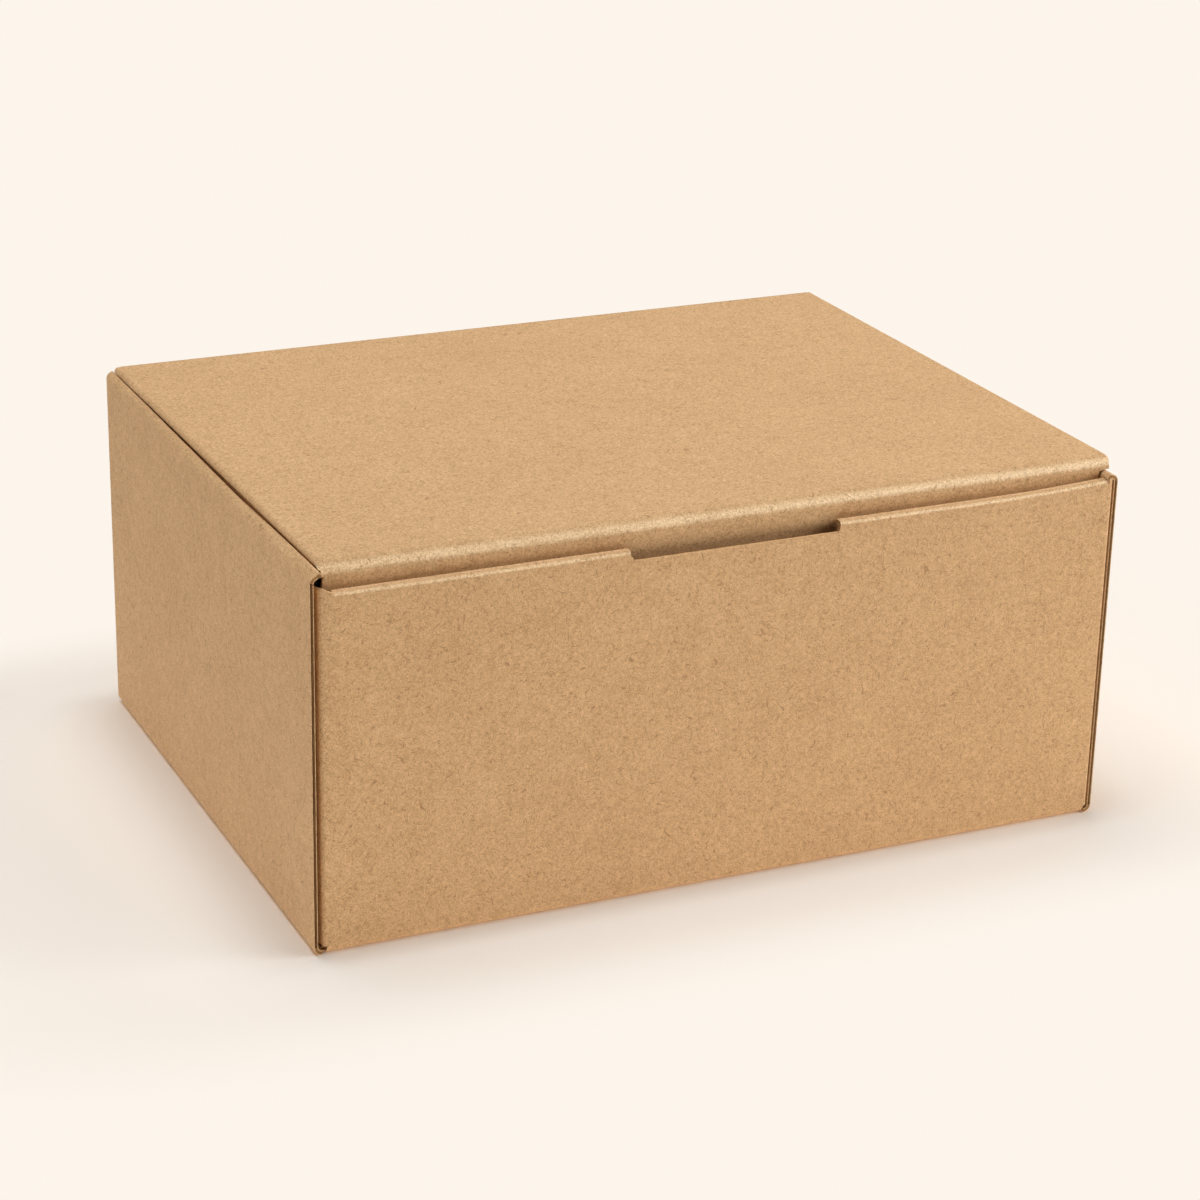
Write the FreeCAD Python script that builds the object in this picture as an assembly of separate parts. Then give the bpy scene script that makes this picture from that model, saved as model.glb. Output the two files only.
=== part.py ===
import FreeCAD, Part
import math
import os

# A closed cardboard mailing box, in millimetres. It stands on its base, with +Z up, the front at -Y and the
# lid's hinge along the back. The origin is the centre of the base on the surface it stands on.
# It is one folded sheet of thin corrugated board in two rigid pieces: the tray (base, walls and corner
# flaps) and the lid (top, tuck flap and dust flaps).

# Overall sizes
overall_width = 320.0
overall_depth = 243.0
lid_height = 145.0            # top face of the closed lid
left_side_height = 143.0      # top of the rolled left wall, as it stands in the photo
right_side_height = 139.5     # top of the rolled right wall, pressed lower than the left
front_height = 136.0          # top of the rolled front wall

# Board
board = 1.5                   # thickness of the sheet
layer_gap = 0.15              # air between two layers that lie against each other
bend_inside = 1.5             # inside radius where the walls turn up from the base
corner_inside = 2.5           # inside radius where the front and back turn round the upright corners
roll_inside = 0.3             # inside radius of the two creases where the front turns over at its top
side_roll_inside = 1.5        # inside radius of the soft outer crease at the side walls' tops
side_crease_inside = 0.2      # inside radius of the tight inner crease there
side_setback = 0.2            # side walls stop this far behind the front's and back's outer faces

# Front wall: an outer and an inner layer that turn over at the top
front_roll_gap = 1.6          # air between the front's two layers
notch_top_width = 82.0        # thumb notch in the front's top
notch_bottom_width = 78.0
notch_depth = 4.1
notch_inner_depth = 8.0       # the inner layer is cut lower, behind the notch
notch_inner_width = 82.0

# Corner flaps, held between the side walls' two layers
front_flap_length = 75.0
back_flap_length = 90.0

# Tabs that lock the inner layers into slots in the base
tab_width = 36.0
tab_tip_height = 0.2          # tab tips stay this far above the surface below
tab_clearance = 0.2           # slot wider than the tab, on each side
side_tab_offset = 60.0        # tab centres from the box's middle, along the sides
front_tab_offset = 80.0       # tab centres from the box's middle, along the front

# Lid
lid_side_gap = 0.4            # between the lid's dust flaps and the side walls
lid_front_gap = 0.4           # between the lid's front fold and the front's inner layer
lid_front_bend = 5.0          # outside radius of the lid's front fold
lid_side_bend = 2.0           # outside radius of the lid's side folds
lid_left_overhang = 0.0       # how far the lid's left edge reaches out over the left wall
lid_right_overhang = 3.2      # the same at the right, where the wall is low enough to pass under it
fold_line_gap = 0.75          # from the back wall's rounded top to the lid's back edge
corner_relief = 0.8           # each end of the tuck flap, in from the lid's side
tuck_depth = 38.0             # tuck flap, down from the lid's top face
swing_clearance = 0.6         # extra setback of the tuck flap's tip, for the lid to swing
tuck_corner_radius = 12.0
dust_depth = 45.0             # dust flaps, down from the lid's top face
dust_front_slope = 12.0       # how far a dust flap's front edge slopes back
dust_back_slope = 22.0        # how far a dust flap's back edge slopes forward
dust_back_gap = 3.0           # from the hinge line to the start of a dust flap

# Places that follow from the sizes above
half_width = overall_width / 2.0
half_depth = overall_depth / 2.0
bend_outside = bend_inside + board
corner_outside = corner_inside + board
roll_outside = roll_inside + board
side_wall = 3.0 * board + 2.0 * layer_gap
front_wall = 2.0 * board + front_roll_gap
front_roll_height = front_height - roll_outside
side_inner_face = half_width - side_wall
flap_outer_face = half_width - board - layer_gap
corner_centre_x = flap_outer_face - corner_outside
corner_centre_y = half_depth - corner_outside
front_inner_face = half_depth - front_wall
side_half_length = half_depth - side_setback
inner_bottom = board + layer_gap
hinge_y = half_depth - board / 2.0
hinge_z = lid_height - board / 2.0
lid_back_edge = hinge_y - board / 2.0 - fold_line_gap
lid_half_width = side_inner_face - lid_side_gap
lid_front_face = front_inner_face - lid_front_gap


def box(x0, x1, y0, y1, z0, z1):
    """A straight piece of board between two limits along each axis."""
    return Part.makeBox(x1 - x0, y1 - y0, z1 - z0, FreeCAD.Vector(x0, y0, z0))


def place(along, low, u, v):
    """The point (u, v) of a section whose normal is the axis named along."""
    if along == "X":
        return FreeCAD.Vector(low, u, v)
    if along == "Y":
        return FreeCAD.Vector(u, low, v)
    return FreeCAD.Vector(u, v, low)


def extruded(face, along, length):
    """The face carried along the named axis."""
    step = {"X": (length, 0, 0), "Y": (0, length, 0), "Z": (0, 0, length)}[along]
    return face.extrude(FreeCAD.Vector(*step))


def polygon(along, low, high, points):
    """A prism with the given (u, v) corners, along an axis from low to high."""
    corners = [place(along, low, u, v) for u, v in points]
    face = Part.Face(Part.makePolygon(corners + corners[:1]))
    return extruded(face, along, high - low)


def bend(along, low, high, u, v, inside, start, end):
    """A curved piece of board round the centre (u, v), between two angles in degrees."""
    outside = inside + board

    def at(radius, angle):
        turn = math.radians(angle)
        return place(along, low, u + radius * math.cos(turn), v + radius * math.sin(turn))

    middle = (start + end) / 2.0
    edges = [
        Part.Arc(at(outside, start), at(outside, middle), at(outside, end)).toShape(),
        Part.LineSegment(at(outside, end), at(inside, end)).toShape(),
        Part.Arc(at(inside, end), at(inside, middle), at(inside, start)).toShape(),
        Part.LineSegment(at(inside, start), at(outside, start)).toShape(),
    ]
    return extruded(Part.Face(Part.Wire(edges)), along, high - low)


def rolled_top(along, low, high, outer_face, wall, top, outer_inside, inner_inside):
    """The top of a wall that turns over: an outer and an inner crease with a flat between them."""
    near = outer_face + outer_inside + board
    far = outer_face + wall - inner_inside - board
    first = bend(along, low, high, near, top - outer_inside - board, outer_inside, 90.0, 180.0)
    second = bend(along, low, high, far, top - inner_inside - board, inner_inside, 0.0, 90.0)
    corners = [(near, top - board), (far, top - board), (far, top), (near, top)]
    return [first, second, polygon(along, low, high, corners)]


def mirrored(shape, normal):
    """The shape's mirror image in the plane through the origin with that normal."""
    return shape.mirror(FreeCAD.Vector(0, 0, 0), FreeCAD.Vector(*normal))


def joined(pieces):
    """One solid from pieces that share faces."""
    return pieces[0].multiFuse(pieces[1:]).removeSplitter()


def base():
    """The base panel with the slots that the inner layers' tabs go into."""
    panel = box(-half_width + bend_outside, half_width - bend_outside,
                -half_depth + bend_outside, half_depth - bend_outside, 0.0, board)
    half_slot = tab_width / 2.0 + tab_clearance
    near_side = side_inner_face - tab_clearance
    far_side = side_inner_face + board + tab_clearance
    for x0, x1 in ((-far_side, -near_side), (near_side, far_side)):
        for y in (-side_tab_offset, side_tab_offset):
            panel = panel.cut(box(x0, x1, y - half_slot, y + half_slot, -board, 2.0 * board))
    near_front = -front_inner_face + tab_clearance
    far_front = -front_inner_face - board - tab_clearance
    for x in (-front_tab_offset, front_tab_offset):
        panel = panel.cut(box(x - half_slot, x + half_slot, far_front, near_front, -board, 2.0 * board))
    return [panel]


def side_wall_left(height):
    """A left wall of that height: outer layer, rolled top and inner layer with its two tabs."""
    side_roll_height = height - side_roll_inside - board
    side_crease_height = height - side_crease_inside - board
    outer_face = -half_width
    outer = box(outer_face, outer_face + board, -side_half_length, side_half_length,
                bend_outside, side_roll_height)
    foot = bend("Y", -side_half_length, side_half_length, outer_face + bend_outside, bend_outside,
                bend_inside, 180.0, 270.0)
    roll = rolled_top("Y", -side_half_length, side_half_length, outer_face, side_wall, height,
                      side_roll_inside, side_crease_inside)
    inner_start = -side_inner_face - board
    inner = box(inner_start, inner_start + board, -corner_centre_y + layer_gap, corner_centre_y - layer_gap,
                inner_bottom, side_crease_height)
    tabs = [box(inner_start, inner_start + board, y - tab_width / 2.0, y + tab_width / 2.0,
                tab_tip_height, inner_bottom) for y in (-side_tab_offset, side_tab_offset)]
    return [outer, foot, inner] + roll + tabs


def front_panels():
    """The front wall: outer layer, rolled top and inner layer, with the thumb notch cut out."""
    front_face = -half_depth
    flat_half = corner_centre_x
    roll_half = corner_centre_x
    outer = box(-flat_half, flat_half, front_face, front_face + board, bend_outside, front_roll_height)
    foot = bend("X", -flat_half, flat_half, front_face + bend_outside, bend_outside, bend_inside, 180.0, 270.0)
    roll = rolled_top("X", -roll_half, roll_half, front_face, front_wall, front_height, roll_inside, roll_inside)
    inner_start = -front_inner_face - board
    inner = box(-roll_half, roll_half, inner_start, inner_start + board, inner_bottom, front_roll_height)
    tabs = [box(x - tab_width / 2.0, x + tab_width / 2.0, inner_start, inner_start + board,
                tab_tip_height, inner_bottom) for x in (-front_tab_offset, front_tab_offset)]
    wall = joined([outer, foot, inner] + roll + tabs)
    top = front_height + board
    middle = front_face + front_wall / 2.0
    low = front_height - notch_depth
    half_top = notch_top_width / 2.0 + (notch_top_width - notch_bottom_width) / 2.0 * board / notch_depth
    half_bottom = notch_bottom_width / 2.0
    notch = polygon("Y", front_face - board, middle,
                    [(-half_top, top), (-half_bottom, low), (half_bottom, low), (half_top, top)])
    inner_notch = box(-notch_inner_width / 2.0, notch_inner_width / 2.0, middle, -front_inner_face + board,
                      front_height - notch_inner_depth, top)
    return [wall.cut(notch).cut(inner_notch)]


def back_panel():
    """The back wall, whose rounded top edge is the lid's fold line."""
    back_face = half_depth
    flat_half = corner_centre_x
    panel = box(-flat_half, flat_half, back_face - board, back_face, bend_outside, hinge_z)
    foot = bend("X", -flat_half, flat_half, back_face - bend_outside, bend_outside, bend_inside, 270.0, 360.0)
    bead = Part.makeCylinder(board / 2.0, 2.0 * flat_half, FreeCAD.Vector(-flat_half, hinge_y, hinge_z),
                             FreeCAD.Vector(1, 0, 0))
    return [panel, foot, bead]


def corner_flaps_left():
    """The front's and the back's left corner flaps, which turn back between the left wall's layers."""
    face = -flap_outer_face
    low, high = bend_outside, front_height
    front_turn = bend("Z", low, high, -corner_centre_x, -corner_centre_y, corner_inside, 180.0, 270.0)
    front_flap = box(face, face + board, -corner_centre_y, -corner_centre_y + front_flap_length, low, high)
    back_turn = bend("Z", low, high, -corner_centre_x, corner_centre_y, corner_inside, 90.0, 180.0)
    back_flap = box(face, face + board, corner_centre_y - back_flap_length, corner_centre_y, low, high)
    return [front_turn, front_flap, back_turn, back_flap]


def tray():
    """Base, front, back, side walls and corner flaps as one folded piece."""
    left = side_wall_left(left_side_height) + corner_flaps_left()
    right = [mirrored(piece, (1, 0, 0)) for piece in side_wall_left(right_side_height) + corner_flaps_left()]
    return joined(base() + front_panels() + back_panel() + left + right)


def tuck_flap():
    """The lid's front fold and the flap that goes down behind the front wall."""
    half = lid_half_width - corner_relief
    centre_y = -lid_front_face + lid_front_bend
    centre_z = lid_height - lid_front_bend
    reach = hinge_y + lid_front_face
    drop = tuck_depth - lid_front_bend
    setback = tuck_depth ** 2 / (2.0 * reach) + swing_clearance
    lean = math.degrees(math.atan2(setback, drop))
    fold = bend("X", -half, half, centre_y, centre_z, lid_front_bend - board, 90.0, 180.0 + lean)
    wings = [bend("X", low, high, centre_y, centre_z, lid_front_bend - board, 90.0, 170.0)
             for low, high in ((-half - lid_left_overhang, -half), (half, half + lid_right_overhang)) if high > low]
    flap = box(-half, half, centre_y - lid_front_bend, centre_y - lid_front_bend + board,
               centre_z - drop, centre_z)
    lower = [edge for edge in flap.Edges
             if abs(edge.Vertexes[0].Z - edge.Vertexes[-1].Z) < board
             and abs(edge.Vertexes[0].Y - edge.Vertexes[-1].Y) > board / 2.0
             and edge.Vertexes[0].Z < centre_z - drop / 2.0]
    flap = flap.makeFillet(tuck_corner_radius, lower)
    flap.rotate(FreeCAD.Vector(0, centre_y, centre_z), FreeCAD.Vector(1, 0, 0), lean)
    return [fold, flap] + wings


def dust_flap_left(overhang):
    """The lid's left fold and its dust flap, which steps back in from the overhang to the inside of the wall."""
    start = -lid_front_face + lid_front_bend
    end = hinge_y - dust_back_gap
    fold_z = lid_height - lid_side_bend
    edge = -lid_half_width - overhang
    fold = bend("Y", start, lid_back_edge, edge + lid_side_bend, fold_z, lid_side_bend - board, 90.0, 180.0)
    top, bottom = fold_z - overhang, lid_height - dust_depth
    flap = polygon("X", -lid_half_width, -lid_half_width + board,
                   [(start, top), (start + dust_front_slope, bottom), (end - dust_back_slope, bottom), (end, top)])
    if overhang > 0.0:
        step = polygon("Y", start, end, [(edge, fold_z), (edge + board, fold_z),
                                         (edge + board + overhang, top), (edge + overhang, top)])
        return [fold, step, flap]
    return [fold, flap]


def lid():
    """The lid's top with its tuck flap and two dust flaps."""
    half = lid_half_width - lid_side_bend
    top = box(-half - lid_left_overhang, half + lid_right_overhang, -lid_front_face + lid_front_bend, lid_back_edge,
              lid_height - board, lid_height)
    left = dust_flap_left(lid_left_overhang)
    right = [mirrored(piece, (1, 0, 0)) for piece in dust_flap_left(lid_right_overhang)]
    return joined([top] + tuck_flap() + left + right)


os.makedirs("parts", exist_ok=True)
for name, shape in (("tray", tray()), ("lid", lid())):
    print(name, "solids", len(shape.Solids), "volume", round(shape.Volume, 1), "valid", shape.isValid())
    shape.exportStep(os.path.join("parts", name + ".step"))
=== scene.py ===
import math

import bmesh
import bpy
from mathutils import Euler, Matrix, Vector


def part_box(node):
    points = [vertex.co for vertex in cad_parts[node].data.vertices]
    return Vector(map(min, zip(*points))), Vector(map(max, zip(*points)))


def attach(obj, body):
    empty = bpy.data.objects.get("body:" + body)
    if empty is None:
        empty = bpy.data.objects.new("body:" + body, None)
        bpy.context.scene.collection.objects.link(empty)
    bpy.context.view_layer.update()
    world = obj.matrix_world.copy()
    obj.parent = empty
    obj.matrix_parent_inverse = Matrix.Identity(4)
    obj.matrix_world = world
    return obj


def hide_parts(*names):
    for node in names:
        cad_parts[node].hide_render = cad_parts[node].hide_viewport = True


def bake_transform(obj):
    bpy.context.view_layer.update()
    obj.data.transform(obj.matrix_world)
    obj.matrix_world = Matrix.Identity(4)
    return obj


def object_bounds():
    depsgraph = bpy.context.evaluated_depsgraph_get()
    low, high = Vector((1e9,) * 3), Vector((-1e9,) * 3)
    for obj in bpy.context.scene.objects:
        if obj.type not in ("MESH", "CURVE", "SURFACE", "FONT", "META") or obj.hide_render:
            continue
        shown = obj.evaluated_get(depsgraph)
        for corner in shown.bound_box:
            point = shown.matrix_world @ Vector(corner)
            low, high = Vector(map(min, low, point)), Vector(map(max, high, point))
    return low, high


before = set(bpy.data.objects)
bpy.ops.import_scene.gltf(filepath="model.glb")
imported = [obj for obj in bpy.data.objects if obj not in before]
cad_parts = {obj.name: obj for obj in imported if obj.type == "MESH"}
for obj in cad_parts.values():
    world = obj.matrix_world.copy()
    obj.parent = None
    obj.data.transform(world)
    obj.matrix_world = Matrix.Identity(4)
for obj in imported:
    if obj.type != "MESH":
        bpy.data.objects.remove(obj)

bl_info = {
    "name": "Cardboard mailing box",
    "version": (1, 0, 0),
    "blender": (4, 5, 0),
    "location": "View3D > Sidebar > Box",
    "description": "Models a closed mailing box folded from one sheet of fine-flute board",
    "category": "Add Mesh",
}

MM = 0.001
SMALL = 0.00002          # tolerance for picking vertices by their place, in metres
QUARTER = 90.0           # a square fold, in degrees
SIDES = (-1.0, 1.0)      # left and right, or front and back
CAD_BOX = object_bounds()
TRAY_LOW, TRAY_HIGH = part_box("tray")
LID_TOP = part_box("lid")[1][2]

# Sizes and colours that a user would change.


class BoxSizes(bpy.types.PropertyGroup):
    """Sizes of the box and of its board."""
    width: bpy.props.FloatProperty(
        name="Width", description="Outside width, along X", unit="LENGTH", default=TRAY_HIGH[0] - TRAY_LOW[0])
    depth: bpy.props.FloatProperty(
        name="Depth", description="Outside depth, from front to back", unit="LENGTH",
        default=TRAY_HIGH[1] - TRAY_LOW[1])
    lid_height: bpy.props.FloatProperty(
        name="Lid height", description="Top face of the closed lid", unit="LENGTH", default=LID_TOP)
    left_height: bpy.props.FloatProperty(
        name="Left height", description="Top of the rolled left wall", unit="LENGTH", default=143.0 * MM)
    right_height: bpy.props.FloatProperty(
        name="Right height", description="Top of the rolled right wall", unit="LENGTH", default=139.5 * MM)
    front_height: bpy.props.FloatProperty(
        name="Front height", description="Top of the rolled front wall", unit="LENGTH", default=136.0 * MM)
    board: bpy.props.FloatProperty(
        name="Board", description="Thickness of the corrugated board", unit="LENGTH", default=1.5 * MM)
    liner: bpy.props.FloatProperty(
        name="Liner", description="Thickness of each of the board's two liners", unit="LENGTH",
        default=0.28 * MM)
    flute_pitch: bpy.props.FloatProperty(
        name="Flute pitch", description="Distance from one flute to the next", unit="LENGTH",
        default=3.3 * MM)


class BoxColours(bpy.types.PropertyGroup):
    """Colours of the paper, as sRGB hex values."""
    liner_dark: bpy.props.StringProperty(
        name="Liner, dark", description="Colour of the liner's darkest grain", default="B38756")
    liner_light: bpy.props.StringProperty(
        name="Liner, light", description="Colour of the liner's palest grain", default="ECC492")
    fibre: bpy.props.StringProperty(
        name="Fibre", description="Colour of the dark fibres in the liner", default="8E6238")
    fluting: bpy.props.StringProperty(
        name="Fluting", description="Colour of the fluted paper inside the board", default="9C744A")
    floor: bpy.props.StringProperty(name="Floor", description="Colour of the floor's paper", default="F6F0E9")
    background: bpy.props.StringProperty(
        name="Background", description="Even colour that the camera sees behind the box", default="FDF5EB")


class StageSettings(bpy.types.PropertyGroup):
    """Lamps and camera."""
    overhead_power: bpy.props.FloatProperty(
        name="Overhead lamp", description="Power of the soft lamp above the box", unit="POWER", default=23.5)
    right_power: bpy.props.FloatProperty(
        name="Right lamp", description="Power of the soft lamp at the right", unit="POWER", default=20.0)
    front_power: bpy.props.FloatProperty(
        name="Front lamp", description="Power of the soft lamp at the front right", unit="POWER", default=5.0)
    left_power: bpy.props.FloatProperty(
        name="Left lamp", description="Power of the soft lamp at the left", unit="POWER", default=1.0)
    sky: bpy.props.FloatProperty(
        name="Sky", description="Brightness of the even light from all round", default=0.05)
    camera_azimuth: bpy.props.FloatProperty(
        name="Camera azimuth", description="Camera's turn round the box", subtype="ANGLE",
        default=math.radians(-24.757))
    camera_elevation: bpy.props.FloatProperty(
        name="Camera elevation", description="Camera's tilt above the floor", subtype="ANGLE",
        default=math.radians(21.612))
    camera_roll: bpy.props.FloatProperty(
        name="Camera roll", description="Camera's turn about its own line of sight", subtype="ANGLE",
        default=math.radians(1.29))


# Folds and cuts, in metres. Each is measured on the sheet or from the box's outer faces. A pair of values is
# for the left and the right side.
BEND_INSIDE = 1.5 * MM           # inside radius where the walls turn up from the base
ROLL_INSIDE = 0.3 * MM           # inside radius of the two creases at the front's top
SIDE_ROLL_INSIDE = 1.5 * MM      # inside radius of the soft outer crease at a side wall's top
SIDE_CREASE_INSIDE = 0.2 * MM    # inside radius of the tight inner crease there
CORNER_INSIDE = {-1.0: 0.1 * MM, 1.0: 0.3 * MM}    # inside radius of the upright corners
CORNER_GAP = {-1.0: 1.7 * MM, 1.0: 0.2 * MM}       # air between a side wall and the turned corners beside it
INNER_END = {-1.0: 9.0 * MM, 1.0: 3.3 * MM}        # the inner layers stop this far from front and back
CORNER_LEAN = 10.0 * MM          # length over which a corner flap leans out to the side wall
LAYER_GAP = 0.15 * MM            # air between two layers that lie together
SIDE_SETBACK = 0.2 * MM          # side walls stop this far behind the front's and back's faces
FRONT_ROLL_GAP = 1.6 * MM        # air between the front wall's two layers
FRONT_ROLL_INSET = {-1.0: 3.8 * MM, 1.0: 0.9 * MM}    # the front's roll stops this far from the corners
ROLL_DIP = 0.45 * MM             # the front's rolled top sinks a little between its two creases
CUT_DROP = 0.05 * MM             # the cut edge beside the front's roll starts this much below its top
CORNER_RISE = {-1.0: 1.6 * MM, 1.0: 0.3 * MM}    # and rises by this much to the corner
CORNER_BOW = {-1.0: 0.5 * MM, 1.0: 0.0}    # the front bows back by this much before it turns round the corner
CORNER_CUTS = (0.2, 0.4, 0.6, 0.8)         # shares of the way to the corner where it gets new edges
FRONT_END_RISE = 1.7 * MM        # the front's top rises by this much towards its right end
FRONT_END_LENGTH = 45.0 * MM     # over this length
FRONT_END_SHARE = 0.5            # the cut and the inner layer below its crease rise by this share of that
FRONT_END_CUTS = (0.25, 0.5, 0.75)
ROLL_CROWN = 0.8 * MM            # the left wall's roll stands this much higher beside the lid, at the front
ROLL_SINK = 1.1 * MM             # and this much lower further back, where the lid's edge lies over it
CROWN_INSET = 2.2 * MM           # both start this far from the wall's face
CROWN_SLOPE = 1.4 * MM           # and are whole after this much more
CROWN_BACK = 0.6                 # shares of the half depth: the crown grows from here to the front
CROWN_LENGTH = 0.3               # over this much
CROWN_CUTS = (0.9, 0.75, 0.6, 0.45, 0.3)
NOTCH_HALF = {-1.0: 41.0 * MM, 1.0: 42.4 * MM}         # the notch's ends, from the middle
NOTCH_FOOT_HALF = {-1.0: 39.0 * MM, 1.0: 41.6 * MM}    # its cut ends lean in towards its foot
NOTCH_DEPTH = 4.1 * MM
NOTCH_INNER_DEPTH = 8.0 * MM
PRESSED_EDGE = 1.2 * MM          # the cut presses the board's fluting flat this far in from the edge
FRONT_FLAP = 75.0 * MM
BACK_FLAP = 90.0 * MM
TAB_HALF = 18.2 * MM
TAB_TIP_HALF = 17.0 * MM
TAB_TIP_HEIGHT = 0.2 * MM
SIDE_TAB = 60.0 * MM             # tab centres from the middle
FRONT_TAB = 80.0 * MM
SLOT_CLEARANCE = 0.2 * MM
LID_GAP = 0.4 * MM
LID_FRONT_BEND = 5.0 * MM        # outside radius
LID_SIDE_BEND = 1.7 * MM         # outside radius
LID_OVERHANG = {-1.0: 1.2 * MM, 1.0: 3.2 * MM}       # the lid's edges reach out over the side walls
LID_SKEW_FRONT = {-1.0: -1.2 * MM, 1.0: 1.6 * MM}    # the edges reach this much further out at the front
LID_SKEW_BACK = {-1.0: 1.2 * MM, 1.0: -1.0 * MM}     # and this much at the back
CORNER_RELIEF = 0.8 * MM         # each end of the tuck flap, in from the dust flap's face
FOLD_RELIEF = 0.1 * MM           # the same for the front fold's last row
CORNER_SPREAD = {-1.0: 0.9 * MM, 1.0: 0.2 * MM}    # the front fold's cut ends spread past the side fold
CORNER_SHARES = (1.0, 0.86, 0.7, 0.54, 0.4, 0.28, 0.18, 0.1, 0.05)    # how far each row of it turns down
TUCK_DEPTH = 38.0 * MM
TUCK_CORNER = 12.0 * MM
TUCK_CUTS = (0.0, 15.0, 30.0, 45.0, 60.0, 72.0)    # places of new edges round that corner, in degrees
TUCK_CUT_TOP = 0.3               # they cut what lies this share of the flap's drop below its fold
SWING_CLEARANCE = 0.6 * MM
DUST_DEPTH = 45.0 * MM
DUST_FRONT_SLOPE = 12.0 * MM
DUST_BACK_SLOPE = 22.0 * MM
DUST_BACK_GAP = 3.0 * MM
HINGE_STRIP = 1.5 * MM           # length of fold on each side of the hinge line
STRIP_END = 0.2 * MM             # the hinge's strip runs on this far into the wall and the lid

# Steps of the folds, and the paper between the liners.
FOLD_STEPS = 6
SIDE_ROLL_STEPS = 10
CORNER_STEPS = 8
LID_FRONT_STEPS = 14
HINGE_STEPS = 10
BACKDROP_STEPS = 24
FOLD_SHADING = 35.0              # edges sharper than this many degrees stay sharp
FLUTE_SHADING = 50.0
STRAIGHT = 0.9925                # a face is straight where its normal has this much along one axis
WAVE_POINTS = 6                  # edges of one flute, with the numbers of those at its top and its foot
WAVE_TOP = (1, 2)
WAVE_FOOT = (4, 5)
MEDIUM_THICKNESS = 0.16 * MM
PRESS_CLEARANCE = 0.04 * MM      # air between the pressed paper and the liners
FLUTE_CLEARANCE = 0.1 * MM       # from a flute's middle to the liner
TRAY_FLUTE_END = 0.15 * MM       # fluting stops this far inside a cut edge
LID_FLUTE_END = 0.3 * MM
BASE_FLUTE_INSET = 1.0 * MM      # and this far from the walls that stand on the base

# Finishes. Sizes of patterns are real sizes in metres.
LINER, MEDIUM, BACKDROP = "brown_linerboard", "fluting_medium", "backdrop_paper"
COLOUR_MIX = {"data_type": "RGBA"}
FACTOR, FIRST, SECOND, MIXED = 0, 6, 7, 2    # a colour mix's three inputs and its output
SMOOTH_STEP = {"interpolation_type": "SMOOTHSTEP"}
# The liner's grain: size and strength, from single fibres to cloudy flocks of them. Fibres are about 0.05 mm
# wide; the finest grain is drawn 0.5 mm wide, so that it shows.
GRAIN = ((0.55 * MM, 0.95), (1.1 * MM, 0.42), (2.3 * MM, 0.24), (5.0 * MM, 0.16), (12.0 * MM, 0.10),
         (32.0 * MM, 0.10))
# Each layer of bumps on the liner is its size, detail, strength and height.
RELIEF = ((2.3 * MM, 2.0, 0.12, 0.25 * MM), (0.55 * MM, 1.0, 0.18, 0.12 * MM))
FIBRE_SIZES = (0.62 * MM, 0.67 * MM, 0.72 * MM)
FIBRE_STRETCH = ((0.22, 1.0, 1.0), (1.0, 0.22, 1.0), (1.0, 1.0, 0.22))    # fibres are longer along one axis
FIBRE_RAMP = {"From Min": 0.70, "From Max": 0.82, "To Max": 0.5}    # where a fibre shows, and how strongly
SWIRL_SIZE = 5.0 * MM
SWIRL_REACH = 7.0 * MM
# A crease along the front is glossier, and has a painted highlight, where it faces up, but not level, and to
# the front.
UPWARD_RAMP = {"From Min": 0.10, "From Max": 0.45}
LEVEL_RAMP = {"From Min": 0.60, "From Max": 0.92}
FRONTAL_RAMP = {"From Min": 0.05, "From Max": 0.30}
# Gains of red, green and blue for the painted highlight on those creases: most in blue, like a white glint.
PAINTED_CREASE_HIGHLIGHT = (1.38, 1.60, 1.95, 1.0)
CREASE_ROUGHNESS = {"To Min": 0.74, "To Max": 0.30}    # of the flat paper and of the crease
LINER_GLOSS = {"IOR": 1.5, "Specular IOR Level": 0.5}
FLECK_SIZE = 0.8 * MM
FLECK_RAMP = {"From Min": 0.35, "From Max": 0.7}
FLECK_GAINS = (1.08, 0.78)     # the fluted paper's palest and darkest flecks, as gains of its colour
MEDIUM_GLOSS = {"Roughness": 0.9, "Specular IOR Level": 0.2}
BACKDROP_GLOSS = {"Roughness": 0.95, "Specular IOR Level": 0.1}
FLOOR_EVEN = 0.38        # share of the floor's brightness near the box that takes no shadow
FLOOR_EXTRA = 0.46       # brightness that the floor adds to its own bounce
FRONT_STRETCH = 2.3      # the floor's own even glow fills the shadow this many times sooner in front of the box than beside it, so the shadow is painted shorter there
# The even brightness grows to that share over a short way from the box, and to the whole over a longer one.
NEAR_FLOOR = {"From Min": 0.0, "From Max": 0.035, "To Max": FLOOR_EVEN}
FAR_FLOOR = {"From Min": 0.06, "From Max": 0.20, "To Max": 1.0 - FLOOR_EVEN}

# The stage, in metres.
FLOOR_HALF_WIDTH = 6.0
FLOOR_FRONT = -5.0
FLOOR_BACK = 2.2
FLOOR_Z = -0.2 * MM
BACKDROP_BEND = 1.4
BACKDROP_RISE = 4.0
LAMP_COLOUR = (1.0, 0.985, 0.965)
LAMP_AIM = (0.0, 0.0, 0.08)
SKY_COLOUR = (1.0, 0.985, 0.96, 1.0)
CAMERA_PLACE = (-0.48735, -1.06413, 0.53053)
FOCAL_PIXELS = 3183.5          # the camera's focal length, in pixels of a photograph this wide:
PHOTO_PIXELS = 1200.0
SENSOR = 36.0                  # in millimetres, as Blender takes it


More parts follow.
